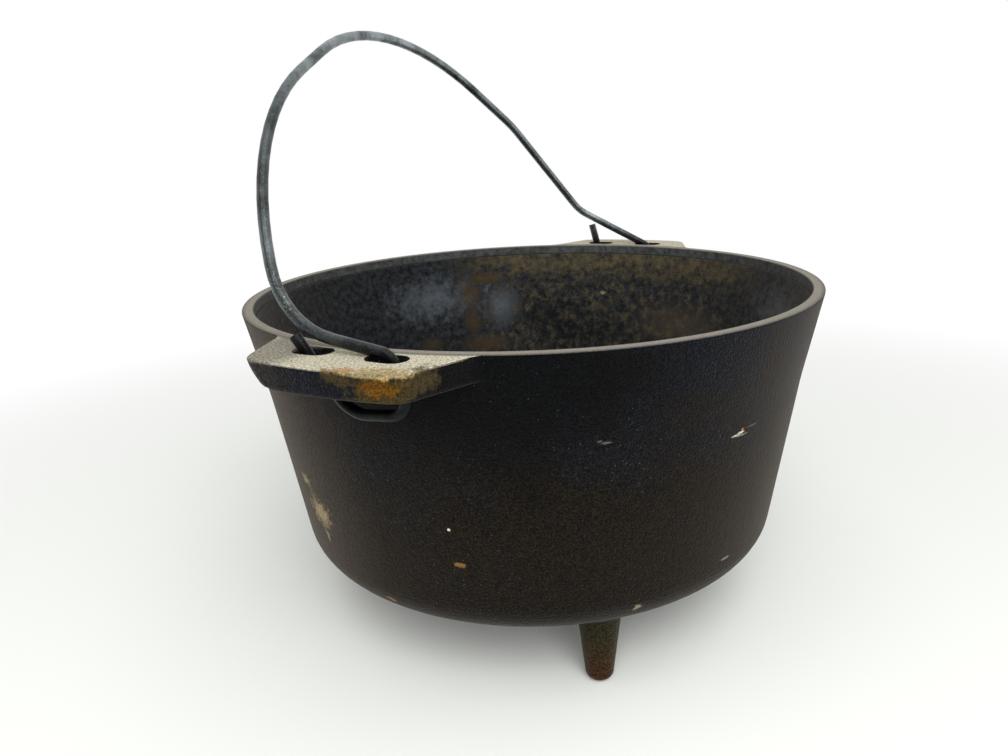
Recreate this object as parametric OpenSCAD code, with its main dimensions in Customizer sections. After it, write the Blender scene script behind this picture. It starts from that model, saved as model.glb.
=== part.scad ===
// Three-legged cast iron pot with a wire bail.
// The pot stands on z = 0, its axis is the Z axis, and its two ears lie on the X axis.
// Body, ears and legs are one casting. The bail is one bent wire that swings in the ears.

/* [Body] */
// Outer diameter across the rim
rim_d = 305; // [270:1:340]
// Height of the body, from the outside of the base to the rim
body_h = 140; // [120:1:170]
// Level below the rim where the wall turns steeper
knee_drop = 42; // [30:1:55]
// How far the wall draws in from the rim to the knee
knee_in = 8.3; // [5:0.1:11]
// How far the wall draws in from the rim to the base
base_in = 23.1; // [18:0.1:30]
// Outer radius of the corner between wall and base
base_corner_r = 21.4; // [16:0.1:25]
// Wall thickness, measured level
wall = 5.8; // [4.5:0.1:7]
// Thickness of the base
base_t = 6.5; // [5:0.1:9]
// Height of the turned band inside the rim, where a lid would sit
band_h = 5.5; // [3:0.1:9]
// How much further out the turned band is than the raw wall below it
band_cut = 1.2; // [0.5:0.1:2]
// Rounding of the rim's outer edge
rim_edge_r = 0.8; // [0.3:0.1:1.5]

/* [Legs] */
// Height of the legs, from the floor to the base
leg_h = 39; // [30:1:60]
// Distance from the pot's axis to each leg's axis
leg_pitch_r = 106.5; // [95:0.1:110]
// Angle of the first leg round the pot
leg_angle = 221.5; // [200:0.1:240]
// Number of legs
leg_count = 3; // [3:1:4]
// Diameter of a leg at its root
leg_root_d = 21.6; // [18:0.1:24]
// Diameter of a leg's taper at the floor, under its rounded tip
leg_tip_d = 13; // [11:0.1:16]
// Rounding of the tip
leg_tip_r = 5; // [2:0.1:5.5]
// Radius of the fillet where leg and base blend
leg_fillet_r = 6; // [3:0.1:8]

/* [Ears] */
// How far an ear reaches out past the rim
ear_reach = 28.5; // [26:0.1:34]
// Width of an ear where it meets the rim
ear_root_w = 98; // [90:0.5:110]
// Width of an ear at its outer edge
ear_tip_w = 74; // [70:0.5:82]
// Thickness of an ear
ear_t = 11.4; // [8:0.1:14]
// Rounding of an ear's outer corners, seen from above
ear_corner_r = 11; // [5:0.5:13]
// Rounding of the inner corners between ear and rim, seen from above
ear_root_r = 12; // [6:0.5:18]
// How far one end of each ear curls in underneath, on +Y at the -X ear and on -Y at the +X ear
ear_end_curl = 7; // [1:0.1:8]
// How far the other sides draw in under the ear
ear_draft = 1; // [0.2:0.1:2]
// Rounding of an ear's upper edge
ear_edge_r = 1; // [0.4:0.1:2]
// Width of the bridge of iron between an ear's two holes
bridge_w = 17; // [15:0.1:19]
// Length of each hole, along the rim
hole_l = 18.4; // [17:0.1:20]
// Width of each hole, across the rim
hole_w = 11.5; // [10:0.1:13]
// Distance from the rim's outer edge to the middle of the holes
hole_out = 6.8; // [6.5:0.1:9]
// How far both holes lie off the ear's middle, away from the curled end
hole_shift = 1; // [0:0.1:2]
// Rounding of the holes' lower edges, where the eyes bear
hole_under_r = 3; // [2.5:0.1:4]

/* [Bail] */
// Diameter of the wire
wire_d = 4.8; // [4:0.1:5.2]
// Reach of the bail's crown, from the ears to the bend lines that form it
bail_crown = 175; // [168:1:200]
// How far the bail leans toward +Y from upright, where it rests
bail_lean = 28; // [22:0.5:32]
// Mean depth of the eyes' lower bend lines below the underside of the ear
eye_drop = 11.5; // [10:0.1:14]
// Radius of the tight bend that enters the hole
entry_bend_r = 6; // [5:0.5:7]

/* [Hidden] */
$fn = 180;

// Curves: the largest turn between two points of a path in degrees, and the longest chord
turn_step = 8;
longest_chord = 10;
// Turn between two levels of a rounded edge
edge_turn = 30;
// Overlap of a cut past the face that it opens
above = 1;

// Body
rim_r = rim_d / 2;
base_z = leg_h;
rim_z = leg_h + body_h;
base_r = rim_r - base_in;
knee_r = rim_r - knee_in;
knee_z = rim_z - knee_drop;
// Radius that softens the knee
knee_bend_r = 150;
inner_corner_r = base_corner_r - wall;
band_r = rim_r - wall;
ledge_r = band_r - band_cut;
// Bevel at the turned band's edges
band_bevel = 0.4;

// Legs: each runs on inside the base, and flares out where its fillet meets it
leg_sleeve = 12;
leg_flare = 4;

// Ears
ear_r = rim_r + ear_reach;
hole_r = rim_r + hole_out;
hole_gap = (bridge_w + hole_l) / 2;
// Rounding of an ear's lower edge
ear_under_r = 2;
// How far an ear's outline runs on inside the wall, past its root and under its skin
ear_tail = 14;
ear_sink = 0.1;
// Turn between two points of a hole's lower edge, and how far its flare runs on inside the hole
hole_turn = 15;
flare_end = 0.5;
// Share of the curl that reaches the ear's root
root_curl = 0.7;
root_steps = 4;
corner_steps = 7;
level_steps = 4;
// The ears' upper faces lie a hair under the rim, so that no two faces share one plane
ear_top_z = rim_z - 0.02;

// Bail: [value at -X, value at +X]. The wire was bent by hand, so its two ends differ.
// Heights are above the rim, and distances are from the middle of the hole or edge that they name.
tube_sides = 20;
// Cut tip, past the outer hole, and how far it leans away from the pot
tip_rise = [6.4, 13.3];
tip_out = [6.2, 6.8];
tip_lean = [2.5, 0];
// Foot of the bail's leg, past the outer hole
foot_rise = [9, 23.6];
foot_out = [14.4, 16.8];
// Gap between the wire that crosses the bridge and the bridge's inner edge
crossing_gap = [0.74, 0.73];
// Bend that turns down into the inner hole
entry_in = [1.5, -0.6];
// Lower bend lines of the eye, under the inner hole and under the bridge's outer edge, how much
// deeper each lies than their mean, and how far both lean towards the pot
low_in = [9.9, 7.4];
low_out = [-5.8, 4.8];
low_in_more = [-0.8, 2.8];
low_out_more = [2.2, 3.4];
low_lean = [1.2, 0];
low_in_bend_r = [8.5, 8.3];
low_out_bend_r = [14, 7.3];
foot_bend_r = [42, 13];
// Shoulders and crown of the arch, on its leaning plane
plane_y = 15;
shoulder_in = [22.9, 55.7];
shoulder_reach = [98.4, 94.8];
shoulder_r = [136, 91];
crown_x = 14.4;
crown_r = 121;
// Any direction that no run of the wire's first bend follows, to start its rings from
ring_guide = [0, 1, 0.2];

function unit(v) = v / norm(v);

// Turn of a path at corner b, in degrees
function turn_at(a, b, c) = acos(min(1, max(-1, unit(b - a) * unit(c - b))));

// Arc of radius r that rounds corner b between a and c, in two or three dimensions
function corner_arc(a, b, c, r, steps) =
    let (
        back = unit(a - b),
        ahead = unit(c - b),
        turn = turn_at(a, b, c),
        centre = b + unit(back + ahead) * r / cos(turn / 2),
        spoke = b + back * r * tan(turn / 2) - centre
    )
    [for (i = [0:steps]) centre + spoke * cos(turn * i / steps) - back * r * sin(turn * i / steps)];

// Open path through corners, each rounded by its own radius
function rounded_path(corners, radii) =
    let (last = len(corners) - 1)
    [
        corners[0],
        for (i = [1:last - 1])
            let (
                a = corners[i - 1],
                b = corners[i],
                c = corners[i + 1],
                widest_step = min(turn_step, longest_chord * 180 / PI / max(1, radii[i])),
                steps = max(1, ceil(turn_at(a, b, c) / widest_step))
            )
            each (radii[i] > 0 ? corner_arc(a, b, c, radii[i], steps) : [b]),
        corners[last]
    ];

// Faces that close a ring of points in strips from side to side, as an ear's outline is concave
function cap(count) =
    [
        for (j = [0:floor((count - 1) / 2) - 1])
            let (k = count - 1 - j)
            j + 1 < k - 1 ? [j, j + 1, k - 1, k] : [j, j + 1, k]
    ];

// Solid through equal closed rings of points, with flat ends
module skin(rings) {
    count = len(rings[0]);
    last = len(rings) - 1;
    points = [for (ring = rings) each ring];
    sides = [
        for (i = [0:last - 1])
            for (j = [0:count - 1])
                let (
                    k = (j + 1) % count,
                    low = i * count,
                    high = low + count
                )
                each [[low + j, high + j, low + k], [low + k, high + j, high + k]]
    ];
    near_end = cap(count);
    far_end = [for (face = near_end) [for (k = [len(face) - 1:-1:0]) last * count + face[k]]];
    polyhedron(points, concat(sides, near_end, far_end), convexity = 6);
}

// Round wire along a path: each ring's spokes are carried on from the ring before without twist
module wire(path, d) {
    last = len(path) - 1;
    ahead = [
        for (i = [0:last])
            unit(
                (i < last ? unit(path[i + 1] - path[i]) : [0, 0, 0])
                + (i > 0 ? unit(path[i] - path[i - 1]) : [0, 0, 0])
            )
    ];
    spokes = [
        for (
            i = 0, spoke = unit(cross(ahead[0], ring_guide));
            i <= last;
            i = i + 1, spoke = i > last ? spoke : unit(spoke - ahead[i] * (spoke * ahead[i]))
        )
            spoke
    ];
    skin([
        for (i = [0:last])
            let (side = cross(ahead[i], spokes[i]))
            [
                for (j = [0:tube_sides - 1])
                    let (a = 360 * j / tube_sides)
                    path[i] + (spokes[i] * cos(a) + side * sin(a)) * d / 2
            ]
    ]);
}

module body_outside() {
    rotate_extrude()
        polygon(
            rounded_path(
                [[0, base_z], [base_r, base_z], [knee_r, knee_z], [rim_r, rim_z], [0, rim_z]],
                [0, base_corner_r, knee_bend_r, rim_edge_r, 0]
            )
        );
}

module body_inside() {
    rotate_extrude()
        polygon(
            rounded_path(
                [
                    [0, base_z + base_t],
                    [base_r - wall, base_z + base_t],
                    [knee_r - wall, knee_z],
                    [ledge_r, rim_z - band_h],
                    [band_r, rim_z - band_h + band_bevel],
                    [band_r, rim_z - band_bevel],
                    [band_r + band_bevel + above, rim_z + above],
                    [0, rim_z + above]
                ],
                [0, inner_corner_r, knee_bend_r, band_bevel, 0, 0, 0, 0]
            )
        );
}

module leg() {
    root_r = leg_root_d / 2;
    rotate_extrude()
        polygon(
            rounded_path(
                [
                    [0, 0],
                    [leg_tip_d / 2, 0],
                    [root_r, leg_h - above],
                    [root_r + leg_flare, leg_h + leg_flare],
                    [root_r + leg_flare, leg_h + leg_sleeve],
                    [0, leg_h + leg_sleeve]
                ],
                [0, leg_tip_r, leg_fillet_r, 0, 0, 0]
            )
        );
}

module legs() {
    for (i = [0:leg_count - 1])
        rotate(leg_angle + 360 * i / leg_count)
            translate([leg_pitch_r, 0, 0])
                leg();
}

// Outline of the +X ear at one depth below its upper face, drawn in by `inset`, with its -Y end
// curled in by `curl`. Its tails run back inside the wall, which tapers.
function ear_outline(depth, inset, curl) =
    let (
        skin_r = rim_r - knee_in * depth / knee_drop - ear_sink,
        core_r = skin_r - wall / 2,
        edge_r = ear_r - inset,
        root_y = ear_root_w / 2 - inset,
        tip_y = ear_tip_w / 2 - inset,
        tail_y = root_y + ear_tail,
        on_arc = function(r, y) [sqrt(r * r - y * y), y],
        tail_low = on_arc(core_r, -tail_y),
        root_low = on_arc(skin_r, -root_y + curl * root_curl),
        tip_low = on_arc(edge_r, -tip_y + curl),
        edge = [for (share = [-0.5:0.25:0.5]) on_arc(edge_r, tip_y * share)],
        tip_high = on_arc(edge_r, tip_y),
        root_high = on_arc(skin_r, root_y),
        tail_high = on_arc(core_r, tail_y)
    )
    concat(
        [tail_low],
        corner_arc(tail_low, root_low, tip_low, ear_root_r, root_steps),
        corner_arc(root_low, tip_low, edge[0], ear_corner_r, corner_steps),
        edge,
        corner_arc(edge[len(edge) - 1], tip_high, root_high, ear_corner_r, corner_steps),
        corner_arc(tip_high, root_high, tail_high, ear_root_r, root_steps),
        [tail_high]
    );

// The levels of an ear run from its underside up: each is a depth, an inset and a curl
function ear_levels() =
    let (
        straight = ear_t - ear_edge_r - ear_under_r,
        under = [
            for (a = [90:-edge_turn:edge_turn])
                [ear_t - ear_under_r * (1 - sin(a)), ear_under_r * (1 - cos(a))]
        ],
        middle = [for (k = [level_steps:-1:1]) [ear_edge_r + straight * k / level_steps, 0]],
        upper = [for (a = [90:-edge_turn:0]) [ear_edge_r * (1 - cos(a)), ear_edge_r * (1 - sin(a))]]
    )
    [
        for (level = concat(under, middle, upper))
            let (share = level[0] / ear_t)
            [level[0], level[1] + ear_draft * share, ear_end_curl * (1 - cos(90 * share))]
    ];

module ear() {
    skin([
        for (level = ear_levels())
            let (depth = level[0])
            [for (p = ear_outline(depth, level[1], level[2])) [p[0], p[1], ear_top_z - depth]]
    ]);
}

// Ring of points round a hole's outline, widened by `more`
function hole_ring(more, z) =
    let (
        r = hole_w / 2 + more,
        end_y = (hole_l - hole_w) / 2
    )
    [
        for (side = [1, -1])
            for (a = [0:hole_turn:180])
                [side * r * cos(a), side * (end_y + r * sin(a)), z]
    ];

// Flare that rounds a hole's lower edge; its top narrows into the hole
module hole_flare() {
    skin(concat(
        [hole_ring(hole_under_r, -above)],
        [
            for (a = [0:edge_turn:90 - edge_turn])
                hole_ring(hole_under_r * (1 - sin(a)), hole_under_r * (1 - cos(a)))
        ],
        [hole_ring(-flare_end, hole_under_r + flare_end)]
    ));
}

module ear_hole(y) {
    straight = hole_l - hole_w;
    translate([hole_r, y, rim_z - ear_t]) {
        hole_flare();
        translate([0, 0, -above])
            linear_extrude(ear_t + 2 * above)
                union() {
                    square([hole_w, straight], center = true);
                    translate([0, -straight / 2])
                        circle(d = hole_w);
                    translate([0, straight / 2])
                        circle(d = hole_w);
                }
    }
}

module both_ends() {
    children();
    rotate(180)
        children();
}

module pot_casting() {
    color([0.16, 0.15, 0.14])
        difference() {
            union() {
                body_outside();
                legs();
                both_ends()
                    ear();
            }
            body_inside();
            both_ends() {
                ear_hole(hole_shift - hole_gap);
                ear_hole(hole_shift + hole_gap);
            }
        }
}

// Corners of one end's eye, from the cut tip through both holes to the foot of the bail's leg.
// End 0 is at -X and end 1 at +X, and each was bent by hand a little differently.
function eye_corners(end) =
    let (
        side = end == 0 ? -1 : 1,
        x = side * hole_r,
        bridge_y = side * hole_shift,
        in_hole_y = bridge_y - hole_gap,
        out_hole_y = bridge_y + hole_gap,
        bridge_in_y = bridge_y - bridge_w / 2,
        bridge_out_y = bridge_y + bridge_w / 2,
        low_x = x - side * low_lean[end],
        low_z = rim_z - ear_t - eye_drop,
        foot = [x, out_hole_y + foot_out[end], rim_z + foot_rise[end]],
        edge_z = rim_z + wire_d / 2 + crossing_gap[end],
        slope = (foot[2] - edge_z) / (foot[1] - bridge_in_y),
        entry_y = in_hole_y - entry_in[end]
    )
    [
        [x + side * tip_lean[end], out_hole_y + tip_out[end], rim_z + tip_rise[end]],
        [low_x, bridge_out_y + low_out[end], low_z - low_out_more[end]],
        [low_x, in_hole_y - low_in[end], low_z - low_in_more[end]],
        [x, entry_y, edge_z + slope * (entry_y - bridge_in_y)],
        foot
    ];

// Radii of the bends at one end's corners
function eye_radii(end) =
    [0, low_out_bend_r[end], low_in_bend_r[end], entry_bend_r, foot_bend_r[end]];

// Point on the bail's leaning plane, `reach` away from the ears
function bail_point(x, reach) =
    [x, plane_y + reach * sin(bail_lean), rim_z + reach * cos(bail_lean)];

module bail_handle() {
    from_end = eye_corners(0);
    to_end = eye_corners(1);
    arch = [
        bail_point(shoulder_in[0] - hole_r, shoulder_reach[0]),
        bail_point(crown_x, bail_crown),
        bail_point(hole_r - shoulder_in[1], shoulder_reach[1])
    ];
    from_radii = eye_radii(0);
    to_radii = eye_radii(1);
    color([0.42, 0.46, 0.45])
        wire(
            rounded_path(
                concat(from_end, arch, [for (i = [4:-1:0]) to_end[i]]),
                concat(
                    from_radii,
                    [shoulder_r[0], crown_r, shoulder_r[1]],
                    [for (i = [4:-1:0]) to_radii[i]]
                )
            ),
            wire_d
        );
}

pot_casting();
bail_handle();
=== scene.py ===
import math

import bpy
from mathutils import Matrix, Vector

mm = 0.001
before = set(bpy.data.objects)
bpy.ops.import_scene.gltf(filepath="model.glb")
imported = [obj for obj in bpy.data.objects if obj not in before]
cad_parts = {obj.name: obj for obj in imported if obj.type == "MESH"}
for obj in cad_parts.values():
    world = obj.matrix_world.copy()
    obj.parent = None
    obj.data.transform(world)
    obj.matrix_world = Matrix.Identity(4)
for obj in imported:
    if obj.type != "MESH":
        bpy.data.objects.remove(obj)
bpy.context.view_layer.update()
print("frame loaded:", ", ".join(sorted(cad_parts)))


# colours are written as sRGB hex, and shaders want linear values
def linearColour(hexColour):
    channels = [int(hexColour[i:i + 2], 16) / 255 for i in (1, 3, 5)]
    return [c / 12.92 if c <= 0.04045 else ((c + 0.055) / 1.055) ** 2.4 for c in channels] + [1]


# adds one node with its settings; a value that is an output socket becomes a link
def addNode(tree, kind, inputs=None, **settings):
    node = tree.nodes.new(kind)
    for name, value in settings.items():
        setattr(node, name, value)
    for name, value in (inputs or {}).items():
        if isinstance(value, bpy.types.NodeSocket):
            tree.links.new(value, node.inputs[name])
        else:
            node.inputs[name].default_value = value
    return node


# camera: placed in millimetres where the photograph was taken from
camera = {
    "x": -385.5, "y": -190.3, "z": 255.0,
    "heading": 28.45,   # degrees from +X towards +Y
    "dip": 16.96,       # degrees below level
    "roll": 2.64,       # degrees, leaning right
    "lens": 27.94,      # mm on a 36 mm sensor
}


def buildCamera():
    heading, dip, roll = (math.radians(camera[k]) for k in ("heading", "dip", "roll"))
    ahead = Vector((math.cos(heading) * math.cos(dip), math.sin(heading) * math.cos(dip), -math.sin(dip)))
    levelRight = ahead.cross(Vector((0, 0, 1))).normalized()
    down = ahead.cross(levelRight)
    right = levelRight * math.cos(roll) + down * math.sin(roll)
    up = right.cross(ahead)
    data = bpy.data.cameras.new("camera")
    data.sensor_width = 36
    data.lens = camera["lens"]
    data.clip_start = 0.01
    obj = bpy.data.objects.new("camera", data)
    turn = Matrix((right, up, -ahead)).transposed().to_4x4()
    obj.matrix_world = Matrix.Translation(Vector((camera["x"], camera["y"], camera["z"])) * mm) @ turn
    bpy.context.scene.collection.objects.link(obj)
    bpy.context.scene.camera = obj


buildCamera()
print("camera placed")


# the casting: zones are found from the pot's own sizes, in millimetres, so that every finish follows the shape
casting = {
    "rimZ": 179.0, "bandZ": 173.5, "baseZ": 39.0,
    "wall": 5.8,
    "rimR": 152.5, "kneeR": 144.2, "kneeZ": 137.0, "baseR": 129.4,
    "iron": "#0f0b07",         # seasoned iron, warm brown-black
    "coolIron": "#080c13",     # where the seasoning is thick and blue-black
    "dryIron": "#120f0a",      # dry, dusty skin low on the wall
    # painted shade: near black round the near ear, on its front and on the wall that the ear shades
    "earShadeIron": "#030405", "earShadePlace": (-138.0, -56.0, 168.0), "earShadeHalf": (70.0, 80.0, 55.0),
    "leftLitIron": "#382f26",    # painted light: the side that faces away from the ear, towards the bright left wall, is paler for the glancing light it catches there
    "bevelIron": "#0a0d11", "scuff": "#4a4945",
    "glintSpeck": "#74746e",        # painted highlights: pale specks for the glints of the grainy skin
    "rim": "#736f66",          # ground rim, rubbed by the lid
    "earTop": "#beb9a4",       # ear tops, worn pale
    "earTopDark": "#99937f",
    "band": "#434645",         # turned seat for the lid
    "ledgeShade": "#15140f",        # painted shade: its upward-facing foot, darkened so that it shows no bright line of light
    "legBrown": "#1f1c0f",
    "rustBrown": "#2c1b0c",
    "specularLevel": 0.05,     # the carbon skin is porous and shines less than its IOR says
    "ior": 1.5,
    "dust": 0.22, "dustRoughness": 0.4, "dustTint": "#b8ada0",     # dust on it lights up at a glancing view
}

# stains on the outside, and a few painted glints among them: colour, middle and half-size in mm, raggedness, strength
stainsAndGlints = [
    ("#332b18", (-178.0, -30.0, 174.0), (7.0, 13.0, 9.0), 0.5, 0.85),      # olive scale on the ear's front
    ("#352d19", (-177.0, -29.0, 171.0), (9.0, 15.0, 11.0), 1.2, 0.95),     # with a ragged edge
    ("#352d18", (-180.0, -12.0, 177.6), (5.0, 8.5, 3.4), 1.0, 0.9),        # it runs left along the upper edge
    ("#3a311d", (-167.0, -39.0, 175.5), (8.0, 6.0, 5.5), 1.2, 0.85),       # and round the ear's corner
    ("#54370b", (-178.4, -28.0, 174.0), (5.0, 8.5, 4.6), 1.4, 0.95),       # live orange rust
    ("#8f8160", (-177.6, -24.0, 178.6), (4.0, 20.0, 1.5), 0.7, 0.75),      # pale dust along the ear's edge
    ("#a5774c", (-177.0, -13.0, 179.2), (3.6, 8.0, 1.1), 1.8, 0.5),        # rust that creeps onto the top
    ("#a88d5a", (-177.8, -32.0, 177.4), (2.6, 3.0, 0.8), 2.2, 0.6),        # painted highlight: glints on the rusty edge of the ear top
    ("#a08b5c", (-173.0, -30.0, 179.0), (5.0, 13.0, 1.5), 1.6, 0.55),      # and tints it by the outer hole
    ("#67635a", (-163.0, 33.0, 179.0), (32.0, 20.0, 1.5), 0.4, 0.8),       # the ear's top is darker grey towards its far end
    ("#75684d", (-123.2, 55.5, 84.5), (10.0, 10.0, 8.5), 1.7, 0.9),          # dried smear low on the left
    ("#8f7f65", (-123.5, 56.5, 85.5), (6.5, 6.0, 5.0), 2.2, 0.8),          # with a paler crust on it
    ("#5a5142", (-122.8, 60.8, 93.5), (3.0, 2.4, 6.5), 2.6, 0.7),          # a thread of it runs up
    ("#83775d", (-122.3, 64.6, 100.9), (4.5, 4.5, 3.4), 1.8, 0.85),        # to a small blot
    ("#827b69", (-122.9, 54.0, 72.5), (1.3, 1.3, 4.0), 1.6, 0.7),
    ("#c9c4a8", (-136.0, -25.2, 98.1), (1.0, 0.8, 0.8), 0.2, 1.0),         # a drop of something pale
    ("#7a5f33", (-132.7, -27.6, 80.0), (1.8, 3.6, 1.3), 1.8, 0.8),         # tan drip mark
    ("#b3ada2", (-63.9, -128.0, 129.1), (3.6, 3.6, 0.6), 0.6, 1.0),       # scrape on the right, in fine strokes
    ("#c4beb2", (-61.3, -129.3, 129.9), (2.6, 2.6, 0.6), 0.6, 1.0),
    ("#8d8578", (-60.0, -129.9, 128.4), (4.2, 4.2, 0.5), 1.4, 0.8),
    ("#767268", (-54.0, -132.6, 131.2), (4.5, 4.5, 0.5), 1.2, 0.6),
    ("#a8703c", (-60.6, -129.8, 131.1), (0.9, 0.9, 0.9), 0.5, 0.9),
    ("#7d8078", (-114.5, -88.3, 138.8), (2.0, 2.0, 0.5), 1.8, 0.35),        # two rubbed spots in the middle, their pale colour a painted glint
    ("#6f726a", (-116.4, -85.9, 139.8), (1.1, 1.1, 0.5), 1.6, 0.35),
    ("#8f9090", (-50.7, -122.8, 61.8), (4.0, 4.0, 0.7), 0.9, 0.7),         # lint caught on the lower edge
    ("#7d6740", (-129.2, 15.0, 50.8), (1.6, 3.0, 1.3), 2.4, 0.9),          # rust where the edge was knocked
    ("#8d8675", (-91.0, -93.2, 51.2), (2.6, 2.6, 1.3), 3.6, 0.7),
]


# a ragged spot as a mask, for the stains and the painted glints: distance from its middle in half-sizes, broken up by
# noise
def raggedSpotMask(tree, where, ragNoise, place, halfSize, ragged, strength):
    offset = addNode(tree, "ShaderNodeVectorMath", {0: where, 1: place}, operation="SUBTRACT")
    share = addNode(tree, "ShaderNodeVectorMath", {0: offset.outputs[0], 1: halfSize}, operation="DIVIDE")
    reach = addNode(tree, "ShaderNodeVectorMath", {0: share.outputs[0]}, operation="LENGTH")
    rag = addNode(tree, "ShaderNodeMath", {0: ragNoise, 1: ragged * 2, 2: -ragged}, operation="MULTIPLY_ADD")
    edge = addNode(tree, "ShaderNodeMath", {0: reach.outputs["Value"], 1: rag.outputs[0]}, operation="ADD")
    mask = addNode(tree, "ShaderNodeMapRange",
                   {"Value": edge.outputs[0], "From Min": 1.15, "From Max": 0.55, "To Min": 0.0, "To Max": strength},
                   interpolation_type="SMOOTHSTEP")
    return mask.outputs["Result"]


# sand-cast iron, seasoned and left to weather: matte brown-black skin with a fine grain,
# ground tops worn bare and pale, a turned band inside the rim, and rust where water stood
def castIron():
    c = casting
    material = bpy.data.materials.new("seasonedSandCastIron")
    material.use_nodes = True
    tree = material.node_tree
    shader = tree.nodes["Principled BSDF"]
    spot = addNode(tree, "ShaderNodeTexCoord")
    where = addNode(tree, "ShaderNodeVectorMath", {0: spot.outputs["Object"], "Scale": 1000.0},
                    operation="SCALE").outputs[0]
    axes = addNode(tree, "ShaderNodeSeparateXYZ", {0: where})
    facing = addNode(tree, "ShaderNodeSeparateXYZ", {0: spot.outputs["Normal"]})
    flatPlace = addNode(tree, "ShaderNodeVectorMath", {0: where, 1: (1, 1, 0)}, operation="MULTIPLY")
    radius = addNode(tree, "ShaderNodeVectorMath", {0: flatPlace.outputs[0]}, operation="LENGTH").outputs["Value"]
    angle = addNode(tree, "ShaderNodeMath", {0: axes.outputs["Y"], 1: axes.outputs["X"]}, operation="ARCTAN2")
    turn = addNode(tree, "ShaderNodeMath", {0: angle.outputs[0]}, operation="DEGREES").outputs[0]

    # the middle of the wall at each height, between the lower and the steeper upper taper
    lowSlope = (c["kneeR"] - c["baseR"]) / (c["kneeZ"] - c["baseZ"])
    highSlope = (c["rimR"] - c["kneeR"]) / (c["rimZ"] - c["kneeZ"])
    lowWall = addNode(tree, "ShaderNodeMath",
                      {0: axes.outputs["Z"], 1: lowSlope, 2: c["baseR"] - c["baseZ"] * lowSlope - c["wall"] / 2},
                      operation="MULTIPLY_ADD")
    highWall = addNode(tree, "ShaderNodeMath",
                       {0: axes.outputs["Z"], 1: highSlope, 2: c["kneeR"] - c["kneeZ"] * highSlope - c["wall"] / 2},
                       operation="MULTIPLY_ADD")
    midWall = addNode(tree, "ShaderNodeMath", {0: lowWall.outputs[0], 1: highWall.outputs[0]}, operation="MAXIMUM")
    withinWall = addNode(tree, "ShaderNodeMath", {0: radius, 1: midWall.outputs[0]}, operation="LESS_THAN")
    overBase = addNode(tree, "ShaderNodeMath", {0: axes.outputs["Z"], 1: c["baseZ"] + 3}, operation="GREATER_THAN")
    inside = addNode(tree, "ShaderNodeMath", {0: withinWall.outputs[0], 1: overBase.outputs[0]},
                     operation="MULTIPLY").outputs[0]
    highUp = addNode(tree, "ShaderNodeMapRange",
                     {"Value": axes.outputs["Z"], "From Min": c["rimZ"] - 1.2, "From Max": c["rimZ"] - 0.4})
    level = addNode(tree, "ShaderNodeMapRange", {"Value": facing.outputs["Z"], "From Min": 0.55, "From Max": 0.9})
    topFace = addNode(tree, "ShaderNodeMath", {0: highUp.outputs[0], 1: level.outputs[0]},
                      operation="MULTIPLY").outputs[0]
    overBand = addNode(tree, "ShaderNodeMapRange",
                       {"Value": axes.outputs["Z"], "From Min": c["bandZ"] - 0.6, "From Max": c["bandZ"] + 0.2})
    band = addNode(tree, "ShaderNodeMath", {0: inside, 1: overBand.outputs[0]}, operation="MULTIPLY").outputs[0]

    # textures: cloudy seasoning 40 mm across and skin grain of 0.9 mm, as the sand left it
    cloud = addNode(tree, "ShaderNodeTexNoise", {"Vector": where, "Scale": 1 / 40, "Detail": 5, "Roughness": 0.6})
    grain = addNode(tree, "ShaderNodeTexNoise", {"Vector": where, "Scale": 1 / 0.9, "Detail": 2, "Roughness": 0.6})
    rag = addNode(tree, "ShaderNodeTexNoise", {"Vector": where, "Scale": 1 / 3.2, "Detail": 6, "Roughness": 0.65})

    # painted highlights: pale specks stand in for the glints of the grainy skin; cells of 1.7 mm, a third of them with
    # a speck of 0.3 mm, drawn larger than life to show
    glintCell = addNode(tree, "ShaderNodeTexVoronoi", {"Vector": where, "Scale": 1 / 1.7})
    glintSize = addNode(tree, "ShaderNodeMapRange",
                      {"Value": glintCell.outputs["Distance"], "From Min": 0.15, "From Max": 0.07})
    glintPick = addNode(tree, "ShaderNodeSeparateColor", {0: glintCell.outputs["Color"]})
    glintChance = addNode(tree, "ShaderNodeMath", {0: cloud.outputs[0], 1: 3.0, 2: glintPick.outputs[0]},
                    operation="MULTIPLY_ADD")
    fewGlints = addNode(tree, "ShaderNodeMapRange",
                      {"Value": glintChance.outputs[0], "From Min": 2.1, "From Max": 2.6, "To Max": 0.7})
    glintSpeck = addNode(tree, "ShaderNodeMath", {0: glintSize.outputs[0], 1: fewGlints.outputs[0]}, operation="MULTIPLY")

    # outside skin
    upper = addNode(tree, "ShaderNodeMapRange",
                    {"Value": axes.outputs["Z"], "From Min": 105.0, "From Max": 165.0, "To Min": -0.09,
                     "To Max": 0.13})
    upper = addNode(tree, "ShaderNodeMath", {0: upper.outputs[0], 1: cloud.outputs[0]}, operation="ADD")
    cloudShare = addNode(tree, "ShaderNodeMapRange", {"Value": upper.outputs[0], "From Min": 0.4, "From Max": 0.6})
    skin = addNode(tree, "ShaderNodeMix",
                   {0: cloudShare.outputs[0], 6: linearColour(c["iron"]), 7: linearColour(c["coolIron"])},
                   data_type="RGBA")
    lowDown = addNode(tree, "ShaderNodeMapRange",
                      {"Value": axes.outputs["Z"], "From Min": 170.0, "From Max": 80.0, "To Max": 0.8})
    skin = addNode(tree, "ShaderNodeMix",
                   {0: lowDown.outputs[0], 6: skin.outputs[2], 7: linearColour(c["dryIron"])}, data_type="RGBA")
    # painted light: the skin grows paler towards +Y, the side lit at a glance by the bright left wall
    leftward = addNode(tree, "ShaderNodeMapRange",
                       {"Value": axes.outputs["Y"], "From Min": 10.0, "From Max": 75.0, "To Max": 0.55})
    skin = addNode(tree, "ShaderNodeMix",
                   {0: leftward.outputs[0], 6: skin.outputs[2], 7: linearColour(c["leftLitIron"])}, data_type="RGBA")
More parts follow.
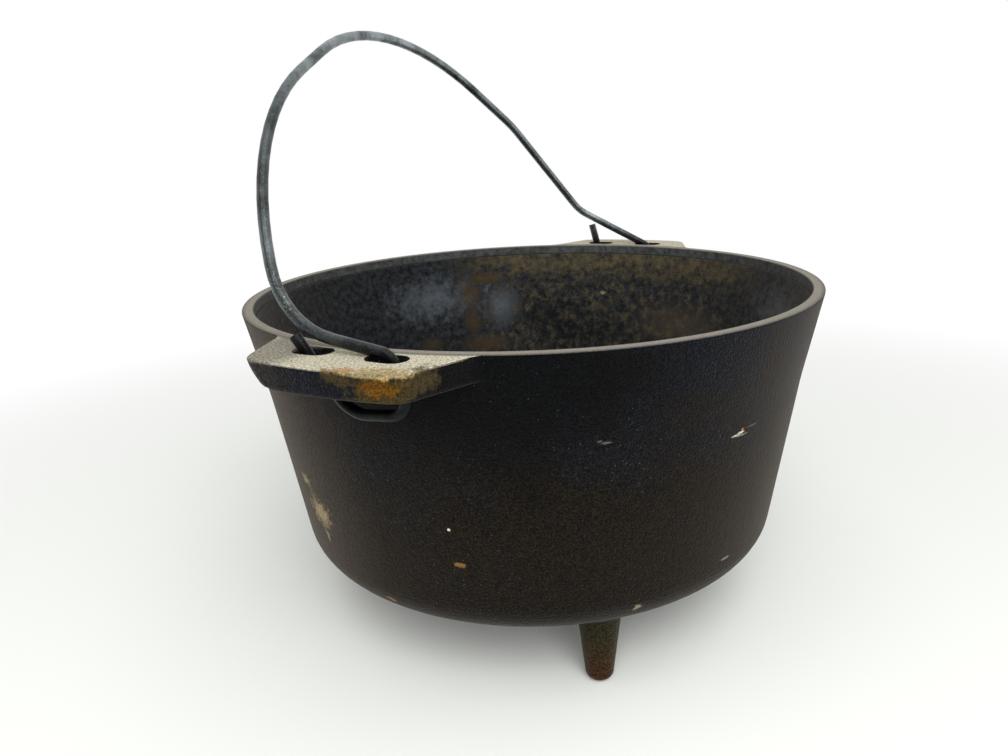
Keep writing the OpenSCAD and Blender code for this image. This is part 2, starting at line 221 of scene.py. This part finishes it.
    # the bevel under the wall is bluer, and scuffed pale along its lower edge
    bevel = addNode(tree, "ShaderNodeMapRange",
                    {"Value": axes.outputs["Z"], "From Min": 56.0, "From Max": 46.0, "To Max": 0.7})
    skin = addNode(tree, "ShaderNodeMix",
                   {0: bevel.outputs[0], 6: skin.outputs[2], 7: linearColour(c["bevelIron"])}, data_type="RGBA")
    scuffed = addNode(tree, "ShaderNodeMapRange",
                      {"Value": axes.outputs["Z"], "From Min": c["baseZ"] + 3.0, "From Max": c["baseZ"] + 1.0,
                       "To Max": 0.5})
    scuffEdge = addNode(tree, "ShaderNodeMapRange",
                        {"Value": facing.outputs["Z"], "From Min": -0.97, "From Max": -0.85})
    scuffed = addNode(tree, "ShaderNodeMath", {0: scuffed.outputs[0], 1: scuffEdge.outputs[0]}, operation="MULTIPLY")
    scuffRag = addNode(tree, "ShaderNodeMapRange", {"Value": rag.outputs[0], "From Min": 0.45, "From Max": 0.6})
    scuffed = addNode(tree, "ShaderNodeMath", {0: scuffed.outputs[0], 1: scuffRag.outputs[0]}, operation="MULTIPLY")
    skin = addNode(tree, "ShaderNodeMix",
                   {0: scuffed.outputs[0], 6: skin.outputs[2], 7: linearColour(c["scuff"])}, data_type="RGBA")
    # painted shade: a near-black, blue-black zone round the near ear, over its front and the wall under it, for the
    # shade there, with a soft cloudy edge
    away = addNode(tree, "ShaderNodeVectorMath", {0: where, 1: c["earShadePlace"]}, operation="SUBTRACT")
    away = addNode(tree, "ShaderNodeVectorMath", {0: away.outputs[0], 1: c["earShadeHalf"]}, operation="DIVIDE")
    away = addNode(tree, "ShaderNodeVectorMath", {0: away.outputs[0]}, operation="LENGTH")
    away = addNode(tree, "ShaderNodeMath", {0: cloud.outputs[0], 1: 1.4, 2: away.outputs["Value"]},
                   operation="MULTIPLY_ADD")
    zoneWeight = addNode(tree, "ShaderNodeMapRange",
                    {"Value": away.outputs[0], "From Min": 1.75, "From Max": 0.95, "To Max": 0.92},
                    interpolation_type="SMOOTHSTEP")
    skin = addNode(tree, "ShaderNodeMix",
                   {0: zoneWeight.outputs[0], 6: skin.outputs[2], 7: linearColour(c["earShadeIron"])}, data_type="RGBA")
    grainShare = addNode(tree, "ShaderNodeMapRange",
                         {"Value": grain.outputs[0], "From Min": 0.4, "From Max": 0.7, "To Min": 0.1, "To Max": 3.3})
    skin = addNode(tree, "ShaderNodeVectorMath", {0: skin.outputs[2], "Scale": grainShare.outputs[0]},
                   operation="SCALE")
    # painted highlights: the pale glint specks are mixed into the skin colour
    specked = addNode(tree, "ShaderNodeMix",
                      {0: glintSpeck.outputs[0], 6: skin.outputs[0], 7: linearColour(c["glintSpeck"])}, data_type="RGBA")
    colour = specked.outputs[2]

    # legs: browner, and rusty at the tips
    legShare = addNode(tree, "ShaderNodeMapRange",
                       {"Value": axes.outputs["Z"], "From Min": 39.5, "From Max": 37.0}).outputs[0]
    tipShare = addNode(tree, "ShaderNodeMapRange",
                       {"Value": axes.outputs["Z"], "From Min": 25.0, "From Max": 9.0}).outputs[0]
    legColour = addNode(tree, "ShaderNodeMix",
                        {0: tipShare, 6: linearColour(c["legBrown"]), 7: linearColour(c["rustBrown"])},
                        data_type="RGBA")
    legGrain = addNode(tree, "ShaderNodeVectorMath", {0: legColour.outputs[2], "Scale": grainShare.outputs[0]},
                       operation="SCALE")
    colour = addNode(tree, "ShaderNodeMix", {0: legShare, 6: colour, 7: legGrain.outputs[0]},
                     data_type="RGBA").outputs[2]

    colour = insideColour(tree, where, axes.outputs["Z"], turn, inside, colour)
    # painted shade: faces of the band that look upward take the darker foot colour
    upward = addNode(tree, "ShaderNodeMapRange", {"Value": facing.outputs["Z"], "From Min": 0.2, "From Max": 0.7})
    bandColour = addNode(tree, "ShaderNodeMix",
                         {0: upward.outputs[0], 6: linearColour(c["band"]), 7: linearColour(c["ledgeShade"])},
                         data_type="RGBA")
    bandTone = addNode(tree, "ShaderNodeMapRange",
                       {"Value": rag.outputs[0], "From Min": 0.35, "From Max": 0.65, "To Min": 0.5, "To Max": 1.4})
    bandColour = addNode(tree, "ShaderNodeVectorMath", {0: bandColour.outputs[2], "Scale": bandTone.outputs[0]},
                         operation="SCALE")
    colour = addNode(tree, "ShaderNodeMix", {0: band, 6: colour, 7: bandColour.outputs[0]},
                     data_type="RGBA").outputs[2]

    # ear tops are pale and mottled, and the rim is rubbed smooth with fine marks along it
    topTone = addNode(tree, "ShaderNodeMapRange", {"Value": grain.outputs[0], "From Min": 0.4, "From Max": 0.6})
    earColour = addNode(tree, "ShaderNodeMix",
                        {0: topTone.outputs[0], 6: linearColour(c["earTopDark"]), 7: linearColour(c["earTop"])},
                        data_type="RGBA")
    onRim = addNode(tree, "ShaderNodeMapRange",
                    {"Value": radius, "From Min": c["rimR"] + 1.5, "From Max": c["rimR"] - 0.5})
    topColour = addNode(tree, "ShaderNodeMix",
                        {0: onRim.outputs[0], 6: earColour.outputs[2], 7: linearColour(c["rim"])}, data_type="RGBA")
    rimEdge = addNode(tree, "ShaderNodeMapRange",
                      {"Value": radius, "From Min": c["rimR"] - 2.6, "From Max": c["rimR"] - 0.6,
                       "To Min": 1.15, "To Max": 0.55})
    rimTone = addNode(tree, "ShaderNodeMix", {0: onRim.outputs[0], 2: 1.0, 3: rimEdge.outputs[0]})
    topColour = addNode(tree, "ShaderNodeVectorMath", {0: topColour.outputs[2], "Scale": rimTone.outputs[0]},
                        operation="SCALE")
    topGrain = addNode(tree, "ShaderNodeMapRange",
                       {"Value": grain.outputs[0], "From Min": 0.3, "From Max": 0.7, "To Min": 0.7, "To Max": 1.3})
    topColour = addNode(tree, "ShaderNodeVectorMath", {0: topColour.outputs[0], "Scale": topGrain.outputs[0]},
                        operation="SCALE")
    colour = addNode(tree, "ShaderNodeMix", {0: topFace, 6: colour, 7: topColour.outputs[0]},
                     data_type="RGBA").outputs[2]

    outside = addNode(tree, "ShaderNodeMath", {0: 1.0, 1: inside}, operation="SUBTRACT")
    stainAndGlintMask = None
    for hexColour, place, halfSize, ragged, strength in stainsAndGlints:
        mask = raggedSpotMask(tree, where, rag.outputs[0], place, halfSize, ragged, strength)
        mask = addNode(tree, "ShaderNodeMath", {0: mask, 1: outside.outputs[0]}, operation="MULTIPLY").outputs[0]
        colour = addNode(tree, "ShaderNodeMix", {0: mask, 6: colour, 7: linearColour(hexColour)},
                         data_type="RGBA").outputs[2]
        if stainAndGlintMask is None:
            stainAndGlintMask = mask
        else:
            stainAndGlintMask = addNode(tree, "ShaderNodeMath", {0: stainAndGlintMask, 1: mask}, operation="MAXIMUM").outputs[0]
    crumbs = addNode(tree, "ShaderNodeMapRange",
                     {"Value": grain.outputs[0], "From Min": 0.32, "From Max": 0.68, "To Min": -0.6, "To Max": 0.7})
    crumbs = addNode(tree, "ShaderNodeMath", {0: stainAndGlintMask, 1: crumbs.outputs[0], 2: 1.0}, operation="MULTIPLY_ADD")
    colour = addNode(tree, "ShaderNodeVectorMath", {0: colour, "Scale": crumbs.outputs[0]}, operation="SCALE")
    tree.links.new(colour.outputs[0], shader.inputs["Base Color"])

    # gloss: the skin is dull, ground metal a little brighter, rust and dirt flat
    rough = addNode(tree, "ShaderNodeMapRange",
                    {"Value": grain.outputs[0], "From Min": 0.3, "From Max": 0.7, "To Min": 0.52, "To Max": 0.72})
    rough = addNode(tree, "ShaderNodeMath", {0: stainAndGlintMask, 1: 0.25, 2: rough.outputs[0]}, operation="MULTIPLY_ADD")
    tree.links.new(rough.outputs[0], shader.inputs["Roughness"])
    shader.inputs["IOR"].default_value = c["ior"]
    shader.inputs["Specular IOR Level"].default_value = c["specularLevel"]
    shader.inputs["Sheen Weight"].default_value = c["dust"]
    shader.inputs["Sheen Roughness"].default_value = c["dustRoughness"]
    shader.inputs["Sheen Tint"].default_value = linearColour(c["dustTint"])

    # relief: sand grain with softer scale under it, 0.5 mm deep at most
    relief = addNode(tree, "ShaderNodeMath", {0: rag.outputs[0], 1: 0.3, 2: grain.outputs[0]},
                     operation="MULTIPLY_ADD")
    bump = addNode(tree, "ShaderNodeBump", {"Height": relief.outputs[0], "Strength": 1.0, "Distance": 0.0005})
    tree.links.new(bump.outputs[0], shader.inputs["Normal"])
    return material


# inside the pot: angle round the axis in degrees (0 at +X), height in mm
insideSkin = {
    "dark": "#101213", "mottle": "#2f3134", "haze": "#5f666c", "brown": "#56493a", "olive": "#47432d",
    "rust": "#44351b", "grey": "#56585a", "pale": "#8c8864",
    "floorTop": 54.0,   # below this the skin's cloudiness isn't wrapped round the wall
    "scour": 0.95,       # how much longer the scour marks run round the wall than up it
    "hazes": [(56, 147, 15, 17), (35, 138, 6, 16)],       # turn, height, half-turn, half-height
    "rusts": [(44.5, 148, 3.6, 12), (44, 128, 2.8, 9), (39, 158, 6, 4), (40, 112, 8, 6), (58, 116, 4, 5)],
    "greys": [(-60, 152, 14, 18)],
    "darks": [(20, 128, 14, 22), (8, 117, 18, 16)], "browns": [(-22, 128, 15, 14)],
    "glint": (4, 146, 1.0, 1.4), "brownTurn": (-44, 44), "brownBand": (156, 166),
}


def insideColour(tree, where, height, turn, inside, under):
    s = insideSkin
    along = addNode(tree, "ShaderNodeMath", {0: turn, 1: 2.5 / s["scour"]}, operation="MULTIPLY")
    wrapped = addNode(tree, "ShaderNodeCombineXYZ", {0: along.outputs[0], 1: height, 2: 0.0})
    onFloor = addNode(tree, "ShaderNodeMath", {0: height, 1: s["floorTop"]}, operation="LESS_THAN")
    skinPlace = addNode(tree, "ShaderNodeMix", {0: onFloor.outputs[0], 4: wrapped.outputs[0], 5: where},
                        data_type="VECTOR").outputs[1]
    mottle = addNode(tree, "ShaderNodeTexNoise",
                     {"Vector": skinPlace, "Scale": 1 / 4, "Detail": 5, "Roughness": 0.75})
    fine = addNode(tree, "ShaderNodeTexNoise",
                   {"Vector": skinPlace, "Scale": 1 / 7, "Detail": 7, "Roughness": 0.8})
    tone = addNode(tree, "ShaderNodeMapRange", {"Value": mottle.outputs[0], "From Min": 0.4, "From Max": 0.64})
    colour = addNode(tree, "ShaderNodeMix",
                     {0: tone.outputs[0], 6: linearColour(s["dark"]), 7: linearColour(s["mottle"])},
                     data_type="RGBA").outputs[2]
    spots = [(spot, s["haze"], 0.55, fine) for spot in s["hazes"]]
    spots += [(spot, s["rust"], 0.75, mottle) for spot in s["rusts"]]
    spots += [(spot, s["grey"], 0.7, fine) for spot in s["greys"]]
    spots += [(spot, s["dark"], 0.75, fine) for spot in s["darks"]]
    spots += [(spot, s["brown"], 0.45, mottle) for spot in s["browns"]]
    spots.append((s["glint"], s["pale"], 0.9, mottle))

    # brown bloom over the far side, thickest in a band under the rim
    startTurn, endTurn = s["brownTurn"]
    middle, half = (startTurn + endTurn) / 2, (endTurn - startTurn) / 2
    offTurn = addNode(tree, "ShaderNodeMath", {0: turn, 1: middle}, operation="SUBTRACT")
    offTurn = addNode(tree, "ShaderNodeMath", {0: offTurn.outputs[0]}, operation="ABSOLUTE")
    sector = addNode(tree, "ShaderNodeMapRange",
                     {"Value": offTurn.outputs[0], "From Min": half + 8, "From Max": half - 14})
    lowEdge, highEdge = s["brownBand"]
    bandRise = addNode(tree, "ShaderNodeMapRange",
                       {"Value": height, "From Min": lowEdge, "From Max": highEdge, "To Min": 0.0, "To Max": 0.11})
    zoneWeight = addNode(tree, "ShaderNodeMath", {0: fine.outputs[0], 1: bandRise.outputs[0]}, operation="ADD")
    bloom = addNode(tree, "ShaderNodeMapRange", {"Value": zoneWeight.outputs[0], "From Min": 0.48, "From Max": 0.68})
    bloom = addNode(tree, "ShaderNodeMath", {0: bloom.outputs[0], 1: sector.outputs[0]}, operation="MULTIPLY")
    offFloor = addNode(tree, "ShaderNodeMapRange",
                       {"Value": height, "From Min": s["floorTop"], "From Max": s["floorTop"] + 40.0})
    bloom = addNode(tree, "ShaderNodeMath", {0: bloom.outputs[0], 1: offFloor.outputs[0]}, operation="MULTIPLY")
    bloomColour = addNode(tree, "ShaderNodeMix",
                          {0: tone.outputs[0], 6: linearColour(s["olive"]), 7: linearColour(s["brown"])},
                          data_type="RGBA").outputs[2]
    colour = addNode(tree, "ShaderNodeMix", {0: bloom.outputs[0], 6: colour, 7: bloomColour},
                     data_type="RGBA").outputs[2]
    for (atTurn, atHeight, halfTurn, halfHeight), hexColour, strength, raggedness in spots:
        sideways = addNode(tree, "ShaderNodeMath", {0: turn, 1: atTurn}, operation="SUBTRACT")
        sideways = addNode(tree, "ShaderNodeMath", {0: sideways.outputs[0], 1: halfTurn}, operation="DIVIDE")
        upward = addNode(tree, "ShaderNodeMath", {0: height, 1: atHeight}, operation="SUBTRACT")
        upward = addNode(tree, "ShaderNodeMath", {0: upward.outputs[0], 1: halfHeight}, operation="DIVIDE")
        pair = addNode(tree, "ShaderNodeCombineXYZ", {0: sideways.outputs[0], 1: upward.outputs[0]})
        reach = addNode(tree, "ShaderNodeVectorMath", {0: pair.outputs[0]}, operation="LENGTH")
        edge = addNode(tree, "ShaderNodeMath", {0: raggedness.outputs[0], 1: 3.8, 2: reach.outputs["Value"]},
                       operation="MULTIPLY_ADD")
        mask = addNode(tree, "ShaderNodeMapRange",
                       {"Value": edge.outputs[0], "From Min": 3.0, "From Max": 1.8, "To Max": strength})
        colour = addNode(tree, "ShaderNodeMix", {0: mask.outputs[0], 6: colour, 7: linearColour(hexColour)},
                         data_type="RGBA").outputs[2]
    return addNode(tree, "ShaderNodeMix", {0: inside, 6: under, 7: colour}, data_type="RGBA").outputs[2]


# bail: one wire; its zinc has gone dull and blue-grey, and rubs bright where it is handled
wire = {
    "zinc": "#99a1a4", "dull": "#4a5150", "bright": "#e2e6e5", "darkZinc": "#262a29", "eyeShade": "#060707",
    "darkTop": 314.0, "darkFull": 262.0, "darkLow": 188.0,      # mm, heights where the wire darkens, on its near half
    "eyeShadeTop": 200.0, "eyeShadeLow": 180.0,    # painted shade: the wire is near black at the eyes, where it runs in the shadow under the ears
    "metallic": 0.9, "roughness": 0.34,
    "patch": 14.0,      # mm, size of the clouds in the zinc
    "scratch": 0.9,     # mm, spacing of the handling marks
    "fleckTop": 275.0, "fleckLow": 235.0,    # they show most just over the rim
}


def agedZincWire():
    w = wire
    material = bpy.data.materials.new("agedZincCoatedSteelWire")
    material.use_nodes = True
    tree = material.node_tree
    shader = tree.nodes["Principled BSDF"]
    spot = addNode(tree, "ShaderNodeTexCoord")
    where = addNode(tree, "ShaderNodeVectorMath", {0: spot.outputs["Object"], "Scale": 1000.0},
                    operation="SCALE").outputs[0]
    cloud = addNode(tree, "ShaderNodeTexNoise",
                    {"Vector": where, "Scale": 1 / w["patch"], "Detail": 6, "Roughness": 0.65})
    share = addNode(tree, "ShaderNodeMapRange", {"Value": cloud.outputs[0], "From Min": 0.36, "From Max": 0.64})
    colour = addNode(tree, "ShaderNodeMix",
                     {0: share.outputs[0], 6: linearColour(w["dull"]), 7: linearColour(w["zinc"])}, data_type="RGBA")
    scratch = addNode(tree, "ShaderNodeTexNoise",
                      {"Vector": where, "Scale": 1 / w["scratch"], "Detail": 5, "Roughness": 0.8, "Distortion": 1.2})
    rubbed = addNode(tree, "ShaderNodeMapRange", {"Value": scratch.outputs[0], "From Min": 0.54, "From Max": 0.62,
                                                  "To Max": 0.8})
    axes = addNode(tree, "ShaderNodeSeparateXYZ", {0: where})
    handled = addNode(tree, "ShaderNodeMapRange",
                      {"Value": axes.outputs["Z"], "From Min": w["fleckTop"], "From Max": w["fleckLow"],
                       "To Min": 0.2, "To Max": 1.0})
    rubbed = addNode(tree, "ShaderNodeMath", {0: rubbed.outputs[0], 1: handled.outputs[0]}, operation="MULTIPLY")
    colour = addNode(tree, "ShaderNodeMix",
                     {0: rubbed.outputs[0], 6: colour.outputs[2], 7: linearColour(w["bright"])}, data_type="RGBA")
    # the wire is darker from the crown downward, most on its near half
    darkening = addNode(tree, "ShaderNodeMapRange",
                    {"Value": axes.outputs["Z"], "From Min": w["darkTop"], "From Max": w["darkFull"], "To Max": 0.75})
    darkEnd = addNode(tree, "ShaderNodeMapRange",
                      {"Value": axes.outputs["Z"], "From Min": w["darkLow"], "From Max": w["darkLow"] + 45.0,
                       "To Min": 0.45, "To Max": 1.0})
    darkening = addNode(tree, "ShaderNodeMath", {0: darkening.outputs[0], 1: darkEnd.outputs[0]}, operation="MULTIPLY")
    nearHalf = addNode(tree, "ShaderNodeMapRange",
                       {"Value": axes.outputs["X"], "From Min": 70.0, "From Max": -70.0, "To Min": 0.3, "To Max": 1.0})
    darkening = addNode(tree, "ShaderNodeMath", {0: darkening.outputs[0], 1: nearHalf.outputs[0]}, operation="MULTIPLY")
    colour = addNode(tree, "ShaderNodeMix",
                     {0: darkening.outputs[0], 6: colour.outputs[2], 7: linearColour(w["darkZinc"])}, data_type="RGBA")
    # painted shade: the wire turns near black low down at the eyes, for the ears' shadow
    eyeShaded = addNode(tree, "ShaderNodeMapRange",
                     {"Value": axes.outputs["Z"], "From Min": w["eyeShadeTop"], "From Max": w["eyeShadeLow"], "To Max": 0.95})
    colour = addNode(tree, "ShaderNodeMix",
                     {0: eyeShaded.outputs[0], 6: colour.outputs[2], 7: linearColour(w["eyeShade"])}, data_type="RGBA")
    tree.links.new(colour.outputs[2], shader.inputs["Base Color"])
    shader.inputs["Metallic"].default_value = w["metallic"]
    rough = addNode(tree, "ShaderNodeMapRange",
                    {"Value": cloud.outputs[0], "From Min": 0.3, "From Max": 0.7,
                     "To Min": w["roughness"] + 0.1, "To Max": w["roughness"] - 0.06})
    tree.links.new(rough.outputs[0], shader.inputs["Roughness"])
    bump = addNode(tree, "ShaderNodeBump", {"Height": scratch.outputs[0], "Strength": 0.35, "Distance": 0.00015})
    tree.links.new(bump.outputs[0], shader.inputs["Normal"])
    return material


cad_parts["pot_casting"].material_slots[0].material = castIron()
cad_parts["bail_handle"].material_slots[0].material = agedZincWire()
print("casting and wire finished")


# studio: a pale matte floor that fades into a white surround, and soft lamps
studio = {
    "floor": "#eceee9",
    "floorHalf": 1.6,                # m
    "fade": (0.30, 0.75),            # m from the axis: where the floor starts and ends its fade to white
    "surround": 0.5,                 # how strongly the white room lights the object
    "openSide": (-0.95, -0.25, 0.19),   # direction of the room's open, dark front
    "openFrom": (0.15, 0.75),        # cosines where the walls end and the open front begins
    "openLight": 0.06,
    "key": {"place": (-0.9, 0.8, 0.6), "size": 0.9, "watts": 1, "mirrored": True},
    "overhead": {"place": (-0.5, -0.45, 1.4), "size": 1.6, "watts": 11, "mirrored": True},
    "fill": {"place": (-0.95, -0.65, 0.9), "size": 1.0, "watts": 15, "mirrored": False},
}


def buildStudio():
    s = studio
    half = s["floorHalf"]
    mesh = bpy.data.meshes.new("floor")
    mesh.from_pydata([(-half, -half, 0), (half, -half, 0), (half, half, 0), (-half, half, 0)], [], [(0, 1, 2, 3)])
    floor = bpy.data.objects.new("floor", mesh)
    bpy.context.scene.collection.objects.link(floor)
    material = bpy.data.materials.new("paleMattePaper")
    material.use_nodes = True
    tree = material.node_tree
    shader = tree.nodes["Principled BSDF"]
    shader.inputs["Base Color"].default_value = linearColour(s["floor"])
    shader.inputs["Roughness"].default_value = 0.95
    spot = addNode(tree, "ShaderNodeTexCoord")
    away = addNode(tree, "ShaderNodeVectorMath", {0: spot.outputs["Object"]}, operation="LENGTH")
    fade = addNode(tree, "ShaderNodeMapRange",
                   {"Value": away.outputs["Value"], "From Min": s["fade"][0], "From Max": s["fade"][1]})
    ray = addNode(tree, "ShaderNodeLightPath")
    direct = addNode(tree, "ShaderNodeMath",
                     {0: ray.outputs["Is Camera Ray"], 1: ray.outputs["Is Glossy Ray"]}, operation="MAXIMUM")
    direct = addNode(tree, "ShaderNodeMath", {0: direct.outputs[0], 1: ray.outputs["Is Transmission Ray"]},
                     operation="MAXIMUM")
    seen = addNode(tree, "ShaderNodeMath", {0: direct.outputs[0], 1: fade.outputs[0]}, operation="MULTIPLY")
    white = addNode(tree, "ShaderNodeEmission", {"Color": (1, 1, 1, 1), "Strength": 1.0})
    blend = addNode(tree, "ShaderNodeMixShader", {0: seen.outputs[0], 1: shader.outputs[0], 2: white.outputs[0]})
    tree.links.new(blend.outputs[0], tree.nodes["Material Output"].inputs["Surface"])
    floor.data.materials.append(material)

    world = bpy.data.worlds.new("whiteRoom")
    bpy.context.scene.world = world
    world.use_nodes = True
    tree = world.node_tree
    # the room's front stands open and dark: what shines mirrors that, and white walls at the back and sides
    ray = addNode(tree, "ShaderNodeLightPath")
    view = addNode(tree, "ShaderNodeTexCoord")
    turned = addNode(tree, "ShaderNodeVectorMath", {0: view.outputs["Generated"], 1: s["openSide"]},
                     operation="DOT_PRODUCT")
    walls = addNode(tree, "ShaderNodeMapRange",
                    {"Value": turned.outputs["Value"], "From Min": s["openFrom"][0], "From Max": s["openFrom"][1],
                     "To Min": 1.0, "To Max": s["openLight"]}, interpolation_type="SMOOTHSTEP")
    strength = addNode(tree, "ShaderNodeMix",
                       {0: ray.outputs["Is Glossy Ray"], 2: s["surround"], 3: walls.outputs["Result"]})
    straight = addNode(tree, "ShaderNodeMath",
                       {0: ray.outputs["Is Camera Ray"], 1: ray.outputs["Is Transmission Ray"]},
                       operation="MAXIMUM")
    strength = addNode(tree, "ShaderNodeMix", {0: straight.outputs[0], 2: strength.outputs[0], 3: 1.0})
    tree.links.new(strength.outputs[0], tree.nodes["Background"].inputs["Strength"])
    tree.nodes["Background"].inputs["Color"].default_value = (1, 1, 1, 1)

    for name in ("key", "overhead", "fill"):
        lamp = s[name]
        data = bpy.data.lights.new(name, "AREA")
        data.size = lamp["size"]
        data.energy = lamp["watts"]
        obj = bpy.data.objects.new(name, data)
        obj.visible_glossy = lamp["mirrored"]
        place = Vector(lamp["place"])
        aim = (Vector((0, 0, 0.12)) - place).to_track_quat("-Z", "Y")
        obj.matrix_world = Matrix.Translation(place) @ aim.to_matrix().to_4x4()
        bpy.context.scene.collection.objects.link(obj)


buildStudio()
bpy.context.scene.view_settings.view_transform = "Standard"
print("studio built")
